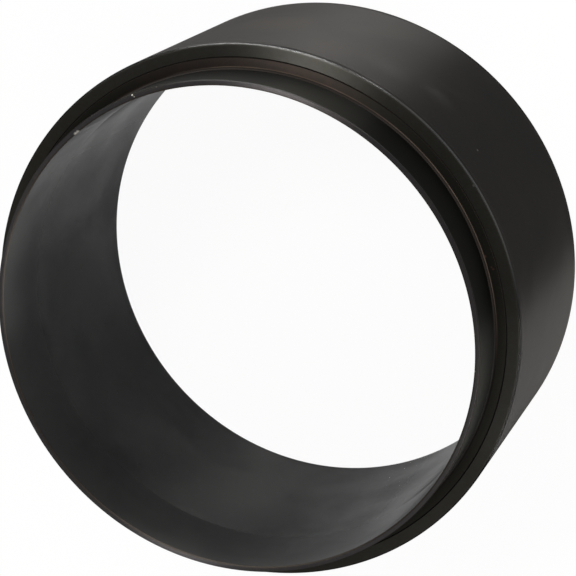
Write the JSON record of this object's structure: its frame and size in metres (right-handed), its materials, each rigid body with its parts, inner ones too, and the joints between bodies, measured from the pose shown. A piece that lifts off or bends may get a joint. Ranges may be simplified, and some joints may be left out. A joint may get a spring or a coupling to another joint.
{
  "type": "piston ring compressor",
  "caption": "Tapered sleeve that closes piston rings as the piston is pushed through it, with a flat seating face and a thin pilot lip that stands in the top of the cylinder liner.",
  "frame": {"origin": "centre of the wide end's face, on which the sleeve stands", "axes": "+Z along the bore's axis, from the wide end to the pilot lip"},
  "size_m": [0.1465, 0.1464, 0.081],
  "materials": {
    "sleeve_steel": "turned, black oxide, oiled",
    "pilot_steel": "turned, black oxide with a brown cast, oiled"
  },
  "bodies": {
    "root": {"sleeve_body": "sleeve_steel", "pilot_ring": "pilot_steel"}
  },
  "joints": []
}
